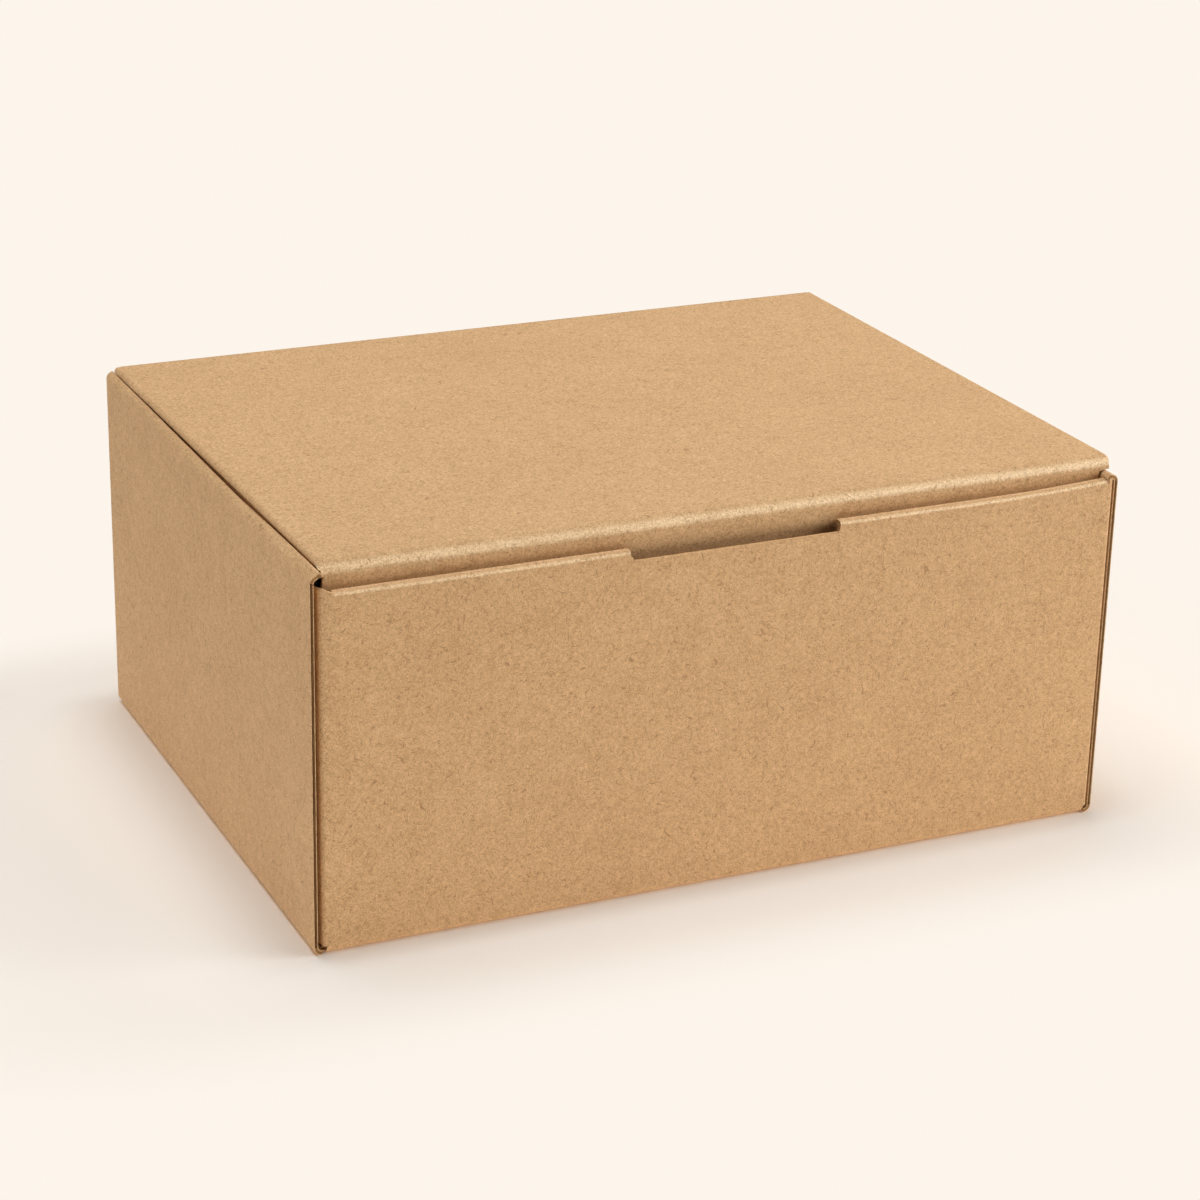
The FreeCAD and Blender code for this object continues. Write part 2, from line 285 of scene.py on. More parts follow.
class Layout:
    """Places of the folded sheet's middle surface, worked out from the sizes."""

    def __init__(self, sizes):
        t = sizes.board
        self.t = t
        self.half_x = sizes.width / 2.0
        self.half_y = sizes.depth / 2.0
        self.mid = t / 2.0
        self.bend_out = BEND_INSIDE + t
        self.roll_out = ROLL_INSIDE + t
        self.side_wall = 3.0 * t + 2.0 * LAYER_GAP
        self.front_wall = 2.0 * t + FRONT_ROLL_GAP
        self.side_roll_out = SIDE_ROLL_INSIDE + t
        self.side_crease_out = SIDE_CREASE_INSIDE + t
        heights = {-1.0: sizes.left_height, 1.0: sizes.right_height}
        self.side_roll_z = {side: height - self.side_roll_out for side, height in heights.items()}
        self.side_crease_z = {side: height - self.side_crease_out for side, height in heights.items()}
        self.front_top = sizes.front_height
        self.cut_top = self.front_top - CUT_DROP
        self.front_roll_z = sizes.front_height - self.roll_out
        self.base_x = self.half_x - self.bend_out
        self.base_y = self.half_y - self.bend_out
        self.corner_x = {side: self.half_x - 2.0 * t - CORNER_GAP[side] - CORNER_INSIDE[side]
                         for side in SIDES}
        self.flap_x = self.half_x - t - LAYER_GAP - self.mid
        self.corner_y = {side: self.half_y - CORNER_INSIDE[side] - t for side in SIDES}
        self.roll_x = {side: self.corner_x[side] - FRONT_ROLL_INSET[side] for side in SIDES}
        self.inner_y = {side: self.half_y - INNER_END[side] for side in SIDES}
        self.side_end = self.half_y - SIDE_SETBACK
        self.side_inner = self.half_x - self.side_wall
        self.front_inner = self.half_y - self.front_wall
        self.inner_bottom = t + LAYER_GAP
        self.notch_z = sizes.front_height - NOTCH_DEPTH
        self.notch_inner_z = sizes.front_height - NOTCH_INNER_DEPTH
        self.hinge_y = self.half_y - self.mid
        self.hinge_z = sizes.lid_height - self.mid
        self.lid_z = self.hinge_z
        self.lid_half = self.side_inner - LID_GAP
        self.lid_edge = {side: self.lid_half + LID_OVERHANG[side] for side in SIDES}
        self.lid_flat = {side: edge - LID_SIDE_BEND for side, edge in self.lid_edge.items()}
        self.lid_front = self.front_inner - LID_GAP
        self.lid_front_line = -self.lid_front + LID_FRONT_BEND
        self.lid_back = self.hinge_y - HINGE_STRIP


# Modelling by hand, in small steps.


def take(piece):
    """Selects one object alone and makes it the active one."""
    bpy.ops.object.select_all(action="DESELECT")
    piece.select_set(True)
    bpy.context.view_layer.objects.active = piece


def rename(piece, name):
    """Names an object and its mesh."""
    piece.name = name
    piece.data.name = name


def smooth(degrees=FOLD_SHADING):
    """Shades the selected object smooth, apart from its sharper edges."""
    bpy.ops.object.shade_smooth_by_angle(angle=math.radians(degrees))


def add_panel(name, x0, x1, y0, y1, z):
    """A flat rectangle of the sheet's middle surface, open in edit mode."""
    bpy.ops.object.select_all(action="DESELECT")
    bpy.ops.mesh.primitive_plane_add(size=1.0, location=((x0 + x1) / 2.0, (y0 + y1) / 2.0, z))
    panel = bpy.context.object
    rename(panel, name)
    panel.scale = (x1 - x0, y1 - y0, 1.0)
    bpy.ops.object.transform_apply(location=True, rotation=True, scale=True)
    bpy.ops.object.mode_set(mode="EDIT")
    bpy.ops.mesh.select_mode(type="EDGE")
    return panel


def score(axis, places):
    """Cuts new edges across the whole sheet at the given places along X, Y or Z."""
    normal = [0.0, 0.0, 0.0]
    normal[axis] = 1.0
    for place in places:
        point = [0.0, 0.0, 0.0]
        point[axis] = place
        bpy.ops.mesh.select_all(action="SELECT")
        bpy.ops.mesh.bisect(plane_co=point, plane_no=normal)


def pick(piece, kind, test):
    """Selects the vertices, edges or faces that pass the test, and says how many."""
    bpy.ops.mesh.select_all(action="DESELECT")
    sheet = bmesh.from_edit_mesh(piece.data)
    chosen = [part for part in getattr(sheet, kind) if test(part)]
    if not chosen:
        raise RuntimeError(f"{piece.name}: no {kind} at that place")
    for part in chosen:
        part.select_set(True)
    if kind == "verts":
        sheet.select_flush_mode()
    bmesh.update_edit_mesh(piece.data)
    return len(chosen)


def pick_edges(piece, test):
    """Selects the edges whose two ends both pass the test."""
    pick(piece, "edges", lambda edge: all(test(vertex.co) for vertex in edge.verts))


def pick_faces(piece, test):
    """Selects the faces whose centre passes the test."""
    pick(piece, "faces", lambda face: test(face.calc_center_median()))


def move_corner(piece, point, move):
    """Moves the one vertex at a point."""
    bpy.ops.mesh.select_mode(type="VERT")
    if pick(piece, "verts", lambda vertex: (vertex.co - Vector(point)).length < SMALL) != 1:
        raise RuntimeError(f"{piece.name}: more than one corner at {tuple(point)}")
    bpy.ops.transform.translate(value=move)
    bpy.ops.mesh.select_mode(type="EDGE")


def side_of(point):
    """Which half of the box a point is in: -1 at the left, 1 at the right."""
    return -1.0 if point.x < 0.0 else 1.0


def near(value, target):
    """Whether two lengths are the same, to the tolerance."""
    return abs(value - target) < SMALL


def fold(centre, axis, degrees, steps=FOLD_STEPS):
    """Carries the selected edges round an arc: one fold of the sheet."""
    bpy.ops.mesh.spin(steps=steps, angle=math.radians(degrees), center=centre, axis=axis)


def run(x=0.0, y=0.0, z=0.0):
    """Carries the selected edges straight on."""
    bpy.ops.mesh.extrude_region_move(TRANSFORM_OT_translate={"value": (x, y, z)})


def shape(piece, rule):
    """Moves each vertex by what the rule says for its place; a rule that says None leaves it."""
    bpy.ops.mesh.select_mode(type="VERT")
    sheet = bmesh.from_edit_mesh(piece.data)
    moves = [(vertex.index, rule(vertex.co.copy())) for vertex in sheet.verts]
    moves = [(index, move) for index, move in moves if move]
    if not moves:
        raise RuntimeError(f"{piece.name}: nothing to move at that place")
    for index, move in moves:
        pick(piece, "verts", lambda vertex: vertex.index == index)
        bpy.ops.transform.translate(value=move)
    bpy.ops.mesh.select_mode(type="EDGE")


def close_sheet():
    """Leaves edit mode with merged corners and one way round for all faces."""
    bpy.ops.mesh.select_all(action="SELECT")
    bpy.ops.mesh.remove_doubles(threshold=SMALL / 4.0)
    bpy.ops.mesh.normals_make_consistent(inside=False)
    bpy.ops.object.mode_set(mode="OBJECT")


def apply_solidify(piece, thickness, offset, rim, even=True):
    """Gives the piece a thickness and makes it real."""
    take(piece)
    wall = piece.modifiers.new("thickness", "SOLIDIFY")
    wall.thickness = thickness
    wall.offset = offset
    wall.use_rim = rim
    wall.use_even_offset = even
    bpy.ops.object.modifier_apply(modifier=wall.name)


def make_liners(piece, sizes):
    """Turns the middle surface into the board's two liners, each a closed skin."""
    apply_solidify(piece, sizes.board, 0.0, False)
    apply_solidify(piece, sizes.liner, -1.0, True, False)
    smooth()


def make_pressed_paper(name, sheet, sizes, keep):
    """The fluted paper where the sheet is folded or pressed: flat between the liners.

    It is a copy of the middle surface, cut down to the faces that the test keeps. The test takes whether
    the face is straight, and its centre.
    """
    take(sheet)
    bpy.ops.object.duplicate()
    paper = bpy.context.object
    rename(paper, name)
    bpy.ops.object.mode_set(mode="EDIT")
    bpy.ops.mesh.select_mode(type="FACE")
    pick(paper, "faces", lambda face: not keep(max(abs(part) for part in face.normal) > STRAIGHT,
                                               face.calc_center_median()))
    bpy.ops.mesh.delete(type="FACE")
    bpy.ops.object.mode_set(mode="OBJECT")
    apply_solidify(paper, sizes.board - 2.0 * sizes.liner - PRESS_CLEARANCE, 0.0, True)
    smooth()
    return paper


def make_fluting(name, panels, sizes):
    """The wavy paper between the liners, one flat stretch for each panel.

    A panel is its corner, the way across the flutes and the way along them, in metres.
    """
    swing = (sizes.board - 2.0 * sizes.liner) / 2.0 - FLUTE_CLEARANCE
    made = []
    for corner, across, along in panels:
        corner, across, along = Vector(corner), Vector(across), Vector(along)
        rows = WAVE_POINTS * max(1, round(across.length / sizes.flute_pitch))
        bpy.ops.object.select_all(action="DESELECT")
        bpy.ops.mesh.primitive_grid_add(x_subdivisions=rows, y_subdivisions=1, size=1.0)
        strip = bpy.context.object
        bpy.ops.object.mode_set(mode="EDIT")
        bpy.ops.mesh.select_mode(type="VERT")
        for crest, lift in ((WAVE_TOP, swing), (WAVE_FOOT, -swing)):
            pick(strip, "verts", lambda vertex: round((vertex.co.x + 0.5) * rows) % WAVE_POINTS in crest)
            bpy.ops.transform.translate(value=(0.0, 0.0, lift))
        bpy.ops.object.mode_set(mode="OBJECT")
        x_way, y_way = across.normalized(), along.normalized()
        turn = Matrix((x_way, y_way, x_way.cross(y_way))).transposed().to_4x4()
        middle = corner + across / 2.0 + along / 2.0
        strip.matrix_world = Matrix.Translation(middle) @ turn @ Matrix.Diagonal(
            (across.length, along.length, 1.0, 1.0))
        bpy.ops.object.transform_apply(location=True, rotation=True, scale=True)
        made.append(strip)
    take(made[0])
    for strip in made:
        strip.select_set(True)
    bpy.ops.object.join()
    fluting = bpy.context.view_layer.objects.active
    rename(fluting, name)
    apply_solidify(fluting, MEDIUM_THICKNESS, 0.0, True)
    smooth(FLUTE_SHADING)
    return fluting


def finish(piece, body, material, nodes=()):
    """Gives a finished piece its material, its body and the CAD nodes that it stands for."""
    piece.data.materials.clear()
    piece.data.materials.append(material_for(material))
    if body:
        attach(piece, body)
    if nodes:
        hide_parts(*nodes)


# Materials.


def linear(hex_colour):
    """An sRGB hex colour as the linear values that the shader takes."""
    parts = [int(hex_colour[i:i + 2], 16) / 255.0 for i in (0, 2, 4)]
    return [c / 12.92 if c <= 0.04045 else ((c + 0.055) / 1.055) ** 2.4 for c in parts] + [1.0]


def node(tree, kind, settings=None, inputs=None):
    """Adds a shader node with its settings, and its values or links; a node is linked by its first output."""
    made = tree.nodes.new(kind)
    for key, value in (settings or {}).items():
        setattr(made, key, value)
    for key, value in (inputs or {}).items():
        if isinstance(value, bpy.types.Node):
            value = value.outputs[0]
        if isinstance(value, bpy.types.NodeSocket):
            tree.links.new(value, made.inputs[key])
        else:
            made.inputs[key].default_value = value
    return made


def new_material(name):
    """A material with no nodes yet, and its node tree."""
    material = bpy.data.materials.new(name)
    material.use_nodes = True
    material.node_tree.nodes.clear()
    return material, material.node_tree


def linerboard_material(colours):
    """Unbleached brown linerboard, made wet from long wood fibres and pressed flat.

    It looks matte and faintly cloudy, with short dark and pale fibres lying every way.
    """
    material, tree = new_material(LINER)
    coordinates = node(tree, "ShaderNodeTexCoord")
    place = coordinates.outputs["Object"]
    total = 0.5 - sum(weight for _, weight in GRAIN) / 2.0
    for size, weight in GRAIN:
        blotches = node(tree, "ShaderNodeTexNoise", None,
                        {"Vector": place, "Scale": 1.0 / size, "Detail": 0.0})
        total = node(tree, "ShaderNodeMath", {"operation": "MULTIPLY_ADD"},
                     {0: blotches, 1: weight, 2: total})
    colour = node(tree, "ShaderNodeMix", COLOUR_MIX,
                  {FACTOR: total, FIRST: linear(colours.liner_dark), SECOND: linear(colours.liner_light)})
    # Long fibres, bent every way by a swirl in their coordinates, run along each axis in turn.
    swirl = node(tree, "ShaderNodeTexNoise", None,
                 {"Vector": place, "Scale": 1.0 / SWIRL_SIZE, "Detail": 0.0})
    bent = node(tree, "ShaderNodeVectorMath", {"operation": "MULTIPLY_ADD"},
                {0: swirl.outputs["Color"], 1: (SWIRL_REACH, SWIRL_REACH, SWIRL_REACH), 2: place})
    for size, stretch in zip(FIBRE_SIZES, FIBRE_STRETCH):
        drawn = node(tree, "ShaderNodeMapping", None, {"Vector": bent, "Scale": stretch})
        fibres = node(tree, "ShaderNodeTexNoise", None, {"Vector": drawn, "Scale": 1.0 / size, "Detail": 0.0})
        strength = node(tree, "ShaderNodeMapRange", SMOOTH_STEP, {"Value": fibres, **FIBRE_RAMP})
        colour = node(tree, "ShaderNodeMix", COLOUR_MIX,
                      {FACTOR: strength, FIRST: colour.outputs[MIXED], SECOND: linear(colours.fibre)})
    # Creasing irons the liner smooth and glossy; a painted highlight is also multiplied into the crease's
    # colour.
    facing = node(tree, "ShaderNodeSeparateXYZ", None, {"Vector": coordinates.outputs["Normal"]})
    upward = node(tree, "ShaderNodeMapRange", SMOOTH_STEP, {"Value": facing.outputs["Z"], **UPWARD_RAMP})
    level = node(tree, "ShaderNodeMapRange", SMOOTH_STEP, {"Value": facing.outputs["Z"], **LEVEL_RAMP})
    crease = node(tree, "ShaderNodeMath", {"operation": "SUBTRACT", "use_clamp": True}, {0: upward, 1: level})
    across = node(tree, "ShaderNodeMath", {"operation": "ABSOLUTE"}, {0: facing.outputs["Y"]})
    frontal = node(tree, "ShaderNodeMapRange", SMOOTH_STEP, {"Value": across, **FRONTAL_RAMP})
    gloss_and_highlight_mask = node(tree, "ShaderNodeMath", {"operation": "MULTIPLY"}, {0: crease, 1: frontal})
    # Painted highlight: the crease's colour is raised, most in blue, as a white glint would raise it.
    painted_highlight = node(tree, "ShaderNodeMix", COLOUR_MIX,
                 {FACTOR: gloss_and_highlight_mask, FIRST: (1.0, 1.0, 1.0, 1.0), SECOND: PAINTED_CREASE_HIGHLIGHT})
    colour = node(tree, "ShaderNodeMix", {**COLOUR_MIX, "blend_type": "MULTIPLY"},
                  {FACTOR: 1.0, FIRST: colour.outputs[MIXED], SECOND: painted_highlight.outputs[MIXED]})
    rough = node(tree, "ShaderNodeMapRange", None, {"Value": gloss_and_highlight_mask, **CREASE_ROUGHNESS})
    surface = {"Base Color": colour.outputs[MIXED], "Roughness": rough, **LINER_GLOSS}
    for size, detail, strength, height in RELIEF:
        bumps = node(tree, "ShaderNodeTexNoise", None,
                     {"Vector": place, "Scale": 1.0 / size, "Detail": detail, "Roughness": 0.6})
        below = {"Normal": surface["Normal"]} if "Normal" in surface else {}
        surface["Normal"] = node(tree, "ShaderNodeBump", None,
                                 {"Height": bumps, "Strength": strength, "Distance": height, **below})
    shader = node(tree, "ShaderNodeBsdfPrincipled", None, surface)
    node(tree, "ShaderNodeOutputMaterial", None, {"Surface": shader})
    return material


def fluting_material(colours):
    """Fluting medium, a thinner and duller brown paper, rough and darker than the liners."""
    material, tree = new_material(MEDIUM)
    place = node(tree, "ShaderNodeTexCoord").outputs["Object"]
    pale, dark = ([part * gain for part in linear(colours.fluting)[:3]] + [1.0] for gain in FLECK_GAINS)
    flecks = node(tree, "ShaderNodeTexNoise", None,
                  {"Vector": place, "Scale": 1.0 / FLECK_SIZE, "Detail": 2.0, "Roughness": 0.6})
    share = node(tree, "ShaderNodeMapRange", SMOOTH_STEP, {"Value": flecks, **FLECK_RAMP})
    colour = node(tree, "ShaderNodeMix", COLOUR_MIX, {FACTOR: share, FIRST: pale, SECOND: dark})
    shader = node(tree, "ShaderNodeBsdfPrincipled", None,
                  {"Base Color": colour.outputs[MIXED], **MEDIUM_GLOSS})
    node(tree, "ShaderNodeOutputMaterial", None, {"Surface": shader})
    return material


def floor_material(colours):
    """Plain matte backdrop paper, evenly pale.

    The camera, and reflections, see part of its own even brightness, and only that part far from the box,
    so the background stays even while the floor near the box keeps the box's soft shadow.
    """
    material, tree = new_material(BACKDROP)
    place = node(tree, "ShaderNodeTexCoord").outputs["Object"]
    # How far a point is from the box's outline. In front the distance is stretched, so the floor's own glow
    # fills the shadow sooner and the shadow there is painted shorter.
    distance = node(tree, "ShaderNodeVectorMath", {"operation": "ABSOLUTE"}, {0: place})
    for operation, value in (("SUBTRACT", (CAD_BOX[1][0], CAD_BOX[1][1], 1.0)), ("MAXIMUM", (0.0, 0.0, 0.0)),
                             ("MULTIPLY", (1.0, FRONT_STRETCH, 1.0)), ("LENGTH", (0.0, 0.0, 0.0))):
        distance = node(tree, "ShaderNodeVectorMath", {"operation": operation}, {0: distance, 1: value})
    distance, even = distance.outputs["Value"], 0.0
    for stretch in (NEAR_FLOOR, FAR_FLOOR):
        grown = node(tree, "ShaderNodeMapRange", SMOOTH_STEP, {"Value": distance, **stretch})
        even = node(tree, "ShaderNodeMath", {"operation": "ADD"}, {0: grown, 1: even})
    path = node(tree, "ShaderNodeLightPath")
    seen = path.outputs["Is Camera Ray"]
    for kind in ("Is Glossy Ray", "Is Transmission Ray"):
        seen = node(tree, "ShaderNodeMath", {"operation": "MAXIMUM"}, {0: seen, 1: path.outputs[kind]})
    share = node(tree, "ShaderNodeMath", {"operation": "MULTIPLY"}, {0: seen, 1: even})
    # The paper also glows for all rays but the camera's: painted bounce light, as if it were lit more
    # strongly than the camera can show, so it throws more light back at the box.
    hidden = node(tree, "ShaderNodeMath", {"operation": "SUBTRACT"},
                  {0: 1.0, 1: path.outputs["Is Camera Ray"]})
    extra = node(tree, "ShaderNodeMath", {"operation": "MULTIPLY"}, {0: hidden, 1: FLOOR_EXTRA})
    paper = node(tree, "ShaderNodeBsdfPrincipled", None,
                 {"Base Color": linear(colours.floor), "Emission Color": linear(colours.floor),
                  "Emission Strength": extra, **BACKDROP_GLOSS})
    own = node(tree, "ShaderNodeEmission", None, {"Color": linear(colours.background), "Strength": 1.0})
    shader = node(tree, "ShaderNodeMixShader", None, {0: share, 1: paper, 2: own})
    node(tree, "ShaderNodeOutputMaterial", None, {"Surface": shader})
    return material


MATERIALS = {LINER: linerboard_material, MEDIUM: fluting_material, BACKDROP: floor_material}


def material_for(name):
    """The material of that name, made the first time it is asked for."""
    return bpy.data.materials.get(name) or MATERIALS[name](bpy.context.scene.box_colours)


# The sheet.


def build_side_wall(sheet, place, side):
    """Folds up one side of the base: outer layer and rolled top."""
    x = side * place.base_x
    across = (0.0, side, 0.0)
    pick_edges(sheet, lambda v: near(v.x, x) and near(v.z, place.mid))
    fold((x, 0.0, place.bend_out), across, QUARTER)
    run(z=place.side_roll_z[side] - place.bend_out)
    near_crease = side * (place.half_x - place.side_roll_out)
    far_crease = side * (place.side_inner + place.side_crease_out)
    fold((near_crease, 0.0, place.side_roll_z[side]), across, QUARTER, SIDE_ROLL_STEPS)
    run(x=far_crease - near_crease)
    pick_edges(sheet, lambda v: near(v.x, far_crease)
               and near(v.z, place.side_crease_z[side] + place.side_crease_out - place.mid))
    fold((far_crease, 0.0, place.side_crease_z[side]), across, QUARTER)


def build_side_ends(sheet, place):
    """Carries the side walls on to the box's front and back faces."""
    for end in SIDES:
        pick_edges(sheet, lambda v: near(v.y, end * place.base_y) and abs(v.x) > place.side_inner
                   and (v.z > place.mid + SMALL or abs(v.x) > place.base_x - SMALL))
        run(y=end * (place.side_end - place.base_y))


def build_side_inner(sheet, place, side):
    """The side wall's inner layer, with its two tabs."""
    x = side * (place.side_inner + place.mid)
    top = place.side_crease_z[side]
    pick_edges(sheet, lambda v: near(v.x, x) and near(v.z, top) and abs(v.y) < place.inner_y[side] + SMALL)
    run(z=place.inner_bottom - top)
    for centre in (-SIDE_TAB, SIDE_TAB):
        pick_edges(sheet, lambda v: near(v.x, x) and near(v.z, place.inner_bottom)
                   and abs(v.y - centre) < TAB_HALF + SMALL)
        run(z=TAB_TIP_HEIGHT - place.inner_bottom)
        bpy.ops.transform.resize(value=(1.0, TAB_TIP_HALF / TAB_HALF, 1.0))


def build_front_wall(sheet, place):
    """Folds up the front: outer layer, notch, rolled top, inner layer and its two tabs."""
    across = (1.0, 0.0, 0.0)
    face = -place.half_y + place.mid
    pick_edges(sheet, lambda v: near(v.y, -place.base_y) and near(v.z, place.mid)
               and abs(v.x) < place.corner_x[side_of(v)] + SMALL)
    fold((0.0, -place.base_y, place.bend_out), across, QUARTER)
    run(z=place.notch_z - PRESSED_EDGE - place.bend_out)
    run(z=PRESSED_EDGE)
    run(z=place.front_roll_z - place.notch_z)
    pick_faces(sheet, lambda c: near(c.y, face) and c.z > place.notch_z and abs(c.x) < NOTCH_HALF[side_of(c)])
    bpy.ops.mesh.delete(type="FACE")
    for side in SIDES:
        move_corner(sheet, (side * NOTCH_HALF[side], face, place.notch_z),
                    (side * (NOTCH_FOOT_HALF[side] - NOTCH_HALF[side]), 0.0, 0.0))
    near_crease = -place.half_y + place.roll_out
    far_crease = -place.front_inner - place.roll_out
    for side in SIDES:
        pick_edges(sheet, lambda v: near(v.y, face) and near(v.z, place.front_roll_z)
                   and NOTCH_HALF[side] - SMALL < side * v.x < place.roll_x[side] + SMALL)
        fold((0.0, near_crease, place.front_roll_z), across, QUARTER)
        run(y=(far_crease - near_crease) / 2.0, z=-ROLL_DIP)
        run(y=(far_crease - near_crease) / 2.0, z=ROLL_DIP)
        fold((0.0, far_crease, place.front_roll_z), across, QUARTER)
        run(z=place.notch_inner_z - place.front_roll_z)
        run(z=place.inner_bottom - place.notch_inner_z)
    inner = -place.front_inner - place.mid
    pick_edges(sheet, lambda v: near(v.y, inner) and near(abs(v.x), NOTCH_HALF[side_of(v)])
               and v.z < place.notch_inner_z + SMALL)
    bpy.ops.mesh.bridge_edge_loops()
    for centre in (-FRONT_TAB, FRONT_TAB):
        pick_edges(sheet, lambda v: near(v.y, inner) and near(v.z, place.inner_bottom)
                   and abs(v.x - centre) < TAB_HALF + SMALL)
        run(z=TAB_TIP_HEIGHT - place.inner_bottom)
        bpy.ops.transform.resize(value=(TAB_TIP_HALF / TAB_HALF, 1.0, 1.0))


def build_back_wall(sheet, place):
    """Folds up the back, as far as the lid's fold."""
    pick_edges(sheet, lambda v: near(v.y, place.base_y) and near(v.z, place.mid)
               and abs(v.x) < place.corner_x[side_of(v)] + SMALL)
    fold((0.0, place.base_y, place.bend_out), (1.0, 0.0, 0.0), -QUARTER)
    run(z=place.front_roll_z - place.bend_out)
    run(z=place.hinge_z - HINGE_STRIP - place.front_roll_z)


def build_corner_flaps(sheet, place):
    """Turns the front's and the back's ends round the upright corners, between the side walls' layers."""
    for end, length in ((-1.0, FRONT_FLAP), (1.0, BACK_FLAP)):
        for side in SIDES:
            x, face = place.corner_x[side], end * (place.half_y - place.mid)
            pick_edges(sheet, lambda v: near(v.y, face) and near(v.x, side * x)
                       and place.bend_out - SMALL < v.z < place.front_roll_z + SMALL)
            fold((side * x, end * place.corner_y[side], 0.0), (0.0, 0.0, 1.0), QUARTER * side * end,
                 CORNER_STEPS)
            turned = x + CORNER_INSIDE[side] + place.mid
            run(x=side * (place.flap_x - turned), y=-end * CORNER_LEAN)
            run(y=-end * (length - CORNER_LEAN))
            # Beside the roll, the sheet carries on up to the wall's top and round the corner.
            start = place.roll_x[side] if end < 0.0 else x
            pick_edges(sheet, lambda v: near(v.z, place.front_roll_z) and v.y * end > 0.0
                       and side * v.x > start - SMALL and not near(side * v.x, place.side_inner + place.mid)
                       and (near(v.y, face) or side * v.x > x - SMALL)
                       and side * v.x < place.half_x - place.t)
            run(z=place.cut_top - place.front_roll_z)


def in_front_corner(place, v):
    """Whether a point is on the front's outer layer beside the roll, or on the corner that it turns."""
    side = side_of(v)
    return (place.roll_x[side] + SMALL < side * v.x < place.half_x - place.t
            and v.y < -place.front_inner - place.t and v.z < place.side_crease_z[side] - SMALL)


def shape_front_corners(sheet, place):
    """Raises the cut edge towards the front's corners, and lets the front bow back before them."""
    def rule(v):
        if not in_front_corner(place, v) or v.z < place.bend_out + SMALL:
            return None
        side = side_of(v)
        start, bend = place.roll_x[side], place.corner_x[side]
        part = min(1.0, (side * v.x - start) / (bend - start))
        rise = CORNER_RISE[side] * part ** 1.5 if near(v.z, place.cut_top) else 0.0
        return 0.0, CORNER_BOW[side] * part ** 2, rise

    shape(sheet, rule)


def raise_front_end(sheet, place):
    """Raises the front's rolled top a little towards its right end."""
    start = place.corner_x[1.0] - FRONT_END_LENGTH

    def rule(v):
        if not (start + SMALL < v.x < place.half_x - place.t and v.z > place.notch_inner_z + SMALL
                and v.y < -place.front_inner - SMALL and v.z < place.side_crease_z[1.0] - SMALL):
            return None
        part = min(1.0, (v.x - start) / FRONT_END_LENGTH)
        share = 1.0 if v.z > place.front_roll_z - SMALL else FRONT_END_SHARE
        return 0.0, 0.0, FRONT_END_RISE * share * part ** 1.5

    shape(sheet, rule)


def crown_left_wall(sheet, place):
    """Raises the inner half of the left wall's roll at the front, and sinks the rest under the lid's edge."""
    start, end = place.half_x - CROWN_INSET, place.side_inner + place.mid

    def rule(v):
        if not (end - SMALL < -v.x < start and v.z > place.side_crease_z[-1.0] - SMALL):
            return None
        part = min(1.0, (start + v.x) / CROWN_SLOPE)
        front, rest = (min(1.0, max(0.0, length) / CROWN_LENGTH)
                       for length in (-v.y / place.half_y - CROWN_BACK, v.y / place.half_y + CROWN_BACK))
        return 0.0, 0.0, part * part * (3.0 - 2.0 * part) * (ROLL_CROWN * front - ROLL_SINK * rest)

    shape(sheet, rule)


def cut_slots(sheet, place):
    """Cuts the slots that the tabs go into, out of the base."""
    inner = place.side_inner - SLOT_CLEARANCE
    pick_faces(sheet, lambda c: near(c.z, place.mid) and inner < abs(c.x) < place.base_x
               and abs(abs(c.y) - SIDE_TAB) < TAB_HALF and abs(c.x) < inner + place.t + 2.0 * SLOT_CLEARANCE)
    bpy.ops.mesh.delete(type="FACE")
    pick_faces(sheet, lambda c: near(c.z, place.mid) and c.y < -place.front_inner + SLOT_CLEARANCE
               and abs(abs(c.x) - FRONT_TAB) < TAB_HALF)
    bpy.ops.mesh.delete(type="FACE")


def tray_fluting_panels(place):
    """Where the tray's board is flat, and the way its flutes run: a corner and two sides for each stretch."""
    cut, low = TRAY_FLUTE_END, place.bend_out
    left, right = -place.roll_x[-1.0], place.corner_x[1.0]
    across = (right - left, 0, 0)
    front, back = -place.half_y + place.mid, place.half_y - place.mid
    front_inner = -place.front_inner - place.mid
    base, base_front = place.side_inner - BASE_FLUTE_INSET, -place.front_inner + BASE_FLUTE_INSET
    panels = [
        ((-base, base_front, place.mid), (0, place.base_y - base_front, 0), (2 * base, 0, 0)),
        ((left, front, low), (0, 0, place.notch_z - PRESSED_EDGE - low), across),
        ((left, front_inner, place.inner_bottom + cut),
         (0, 0, place.notch_inner_z - place.inner_bottom - 2 * cut), across),
        ((left, back, low), (0, 0, place.hinge_z - HINGE_STRIP - low), across),
    ]
    for side in SIDES:
        start = side * (NOTCH_HALF[side] + cut)
        along = (side * (place.roll_x[side] - cut) - start, 0, 0)
        outer, inner = side * (place.half_x - place.mid), side * (place.side_inner + place.mid)
        panels += [
            ((start, front, place.notch_z), (0, 0, place.front_roll_z - place.notch_z), along),
            ((start, front_inner, place.notch_inner_z),
             (0, 0, place.front_roll_z - place.notch_inner_z), along),
            ((outer, -place.side_end + cut, low), (0, 2 * (place.side_end - cut), 0),
             (0, 0, place.side_roll_z[side] - low)),
            ((inner, -place.inner_y[side] + cut, place.inner_bottom + cut),
             (0, 2 * (place.inner_y[side] - cut), 0),
             (0, 0, place.side_crease_z[side] - place.inner_bottom - cut)),
        ]
        for way, reach in ((-1.0, FRONT_FLAP), (1.0, BACK_FLAP)):
            panels.append(((side * place.flap_x, way * (place.corner_y[side] - CORNER_LEAN), low + cut),
                           (0, 0, place.front_roll_z - low - 2 * cut),
                           (0, -way * (reach - CORNER_LEAN - cut), 0)))
    return panels


